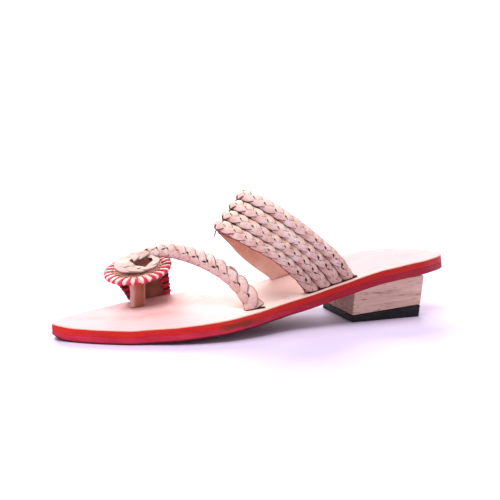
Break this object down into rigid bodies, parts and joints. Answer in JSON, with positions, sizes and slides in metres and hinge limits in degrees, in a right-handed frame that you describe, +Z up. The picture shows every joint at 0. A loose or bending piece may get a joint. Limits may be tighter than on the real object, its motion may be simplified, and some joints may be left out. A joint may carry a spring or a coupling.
{
  "type": "kolhapuri sandal",
  "caption": "Low-heeled leather toe-loop sandal with a plaited instep band and a plaited toe strap coiled on a round medallion.",
  "frame": {"origin": "on the floor, under the middle of the sandal's bounding box", "axes": "+X towards the toe, +Y towards the outer (lateral) side of this left shoe, +Z up"},
  "size_m": [0.255, 0.0954, 0.0836],
  "materials": {
    "upper_sole_leather": "pale pink undyed leather footbed with a red painted edge",
    "lower_sole_leather": "undyed leather outsole with a crimson painted edge",
    "heel_wood": "bare pinkish wood with fine grain along the shoe",
    "heel_rubber": "black rubber, matt",
    "plait_leather": "undyed pinkish tan leather, plaited",
    "lining_leather": "orange-brown flesh side",
    "loop_leather": "tan leather with red whip-stitched edges",
    "medallion_leather": "pale leather with a red and cream whip-stitched rim"
  },
  "bodies": {
    "root": {"outsole": "lower_sole_leather", "insole": "upper_sole_leather", "heel_block": "heel_wood", "heel_lift": "heel_rubber", "braid_1": "plait_leather", "braid_2": "plait_leather", "braid_3": "plait_leather", "braid_4": "plait_leather", "band_lining": "lining_leather", "toe_loop": "loop_leather", "toe_medallion": "medallion_leather", "toe_strap": "plait_leather"}
  },
  "joints": []
}
